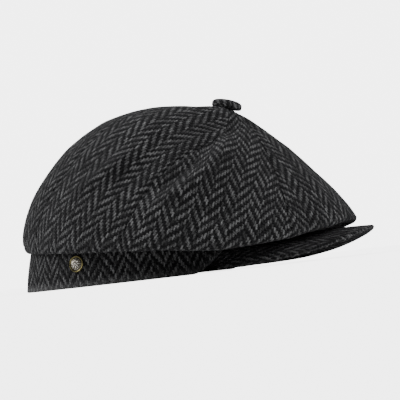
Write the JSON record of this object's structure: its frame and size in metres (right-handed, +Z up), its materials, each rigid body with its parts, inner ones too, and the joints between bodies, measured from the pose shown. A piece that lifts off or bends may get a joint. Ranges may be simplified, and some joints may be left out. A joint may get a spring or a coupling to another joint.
{
  "type": "newsboy cap",
  "caption": "Soft newsboy cap with a full panelled crown gathered under a covered button, a short stiff peak, a plain band, a satin lining and a round badge.",
  "frame": {"origin": "on the surface that the cap rests on, under the middle of its outline", "axes": "+Z up through the crown, -Y the way the peak points, +X the wearer's left"},
  "size_m": [0.2278, 0.2932, 0.141],
  "materials": {
    "tweed": "charcoal herringbone wool, rough",
    "lining_satin": "black satin",
    "badge_brass": "worn, pale"
  },
  "bodies": {
    "root": {"badge": "badge_brass", "band": "tweed", "crown_panel_1": "tweed", "crown_panel_2": "tweed", "crown_panel_3": "tweed", "crown_panel_4": "tweed", "crown_panel_5": "tweed", "crown_panel_6": "tweed", "crown_panel_7": "tweed", "crown_panel_8": "tweed", "lining": "lining_satin", "peak": "tweed", "top_button": "tweed"}
  },
  "joints": []
}
